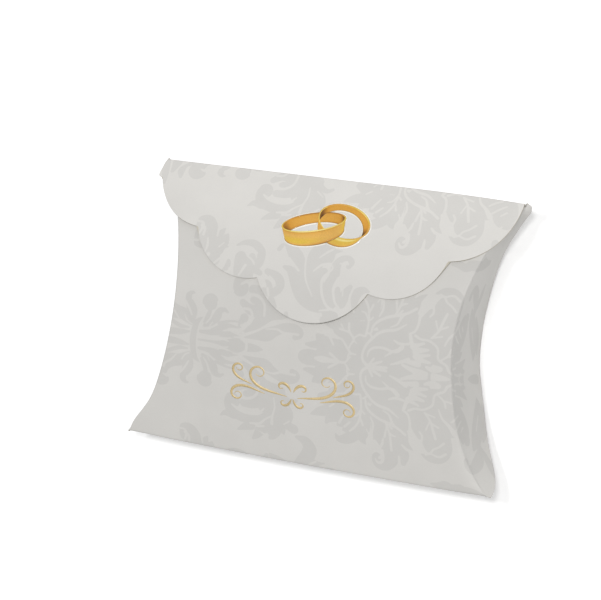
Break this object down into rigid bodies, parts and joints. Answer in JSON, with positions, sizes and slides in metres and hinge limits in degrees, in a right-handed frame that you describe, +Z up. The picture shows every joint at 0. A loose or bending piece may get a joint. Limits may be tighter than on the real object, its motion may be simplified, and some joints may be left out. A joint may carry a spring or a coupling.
{
  "type": "pillow box",
  "caption": "Small card favour box shaped like a pillow: bowed front and back, a scalloped flap over the front, and concave ends closed by folding flaps.",
  "frame": {"origin": "on the table under the middle of the box, which lies on its bulged back", "axes": "+X along the straight folds to the right, +Y from the bottom fold to the top fold with the flap, +Z up out of the front panel"},
  "size_m": [0.11, 0.081, 0.026],
  "materials": {
    "printed_card": "ivory card with a slight sheen, printed all over with a tone-on-tone damask",
    "plain_card": "plain matt inside of the card"
  },
  "bodies": {
    "sleeve": {"front_panel": "printed_card", "back_panel": "printed_card", "glue_tab": "plain_card"},
    "closure_flap": {"closure_flap": "printed_card"},
    "right_outer_end_flap": {"right_outer_end_flap": "printed_card"},
    "right_inner_end_flap": {"right_inner_end_flap": "plain_card"},
    "left_outer_end_flap": {"left_outer_end_flap": "printed_card"},
    "left_inner_end_flap": {"left_inner_end_flap": "plain_card"}
  },
  "joints": [
    {"name": "closure_flap_fold", "type": "hinge", "parent": "sleeve", "child": "closure_flap", "pos_m": [0, 0.0405, 0.013], "axis": [-1, 0, 0], "range_deg": [0, 170]},
    {"name": "right_outer_crease", "type": "hinge", "parent": "sleeve", "child": "right_outer_end_flap", "pos_m": [0.04265, 0, 0.02535], "axis": [0, -1, 0], "range_deg": [0, 90]},
    {"name": "right_inner_crease", "type": "hinge", "parent": "sleeve", "child": "right_inner_end_flap", "pos_m": [0.04135, 0, 0], "axis": [0, 1, 0], "range_deg": [0, 45]},
    {"name": "left_outer_crease", "type": "hinge", "parent": "sleeve", "child": "left_outer_end_flap", "pos_m": [-0.04265, 0, 0.02535], "axis": [0, 1, 0], "range_deg": [0, 90]},
    {"name": "left_inner_crease", "type": "hinge", "parent": "sleeve", "child": "left_inner_end_flap", "pos_m": [-0.04135, 0, 0], "axis": [0, -1, 0], "range_deg": [0, 45]}
  ],
  "couplings": [
    {"joint": "right_inner_crease", "follows": "right_outer_crease", "ratio": 0.5},
    {"joint": "left_inner_crease", "follows": "left_outer_crease", "ratio": 0.5}
  ]
}
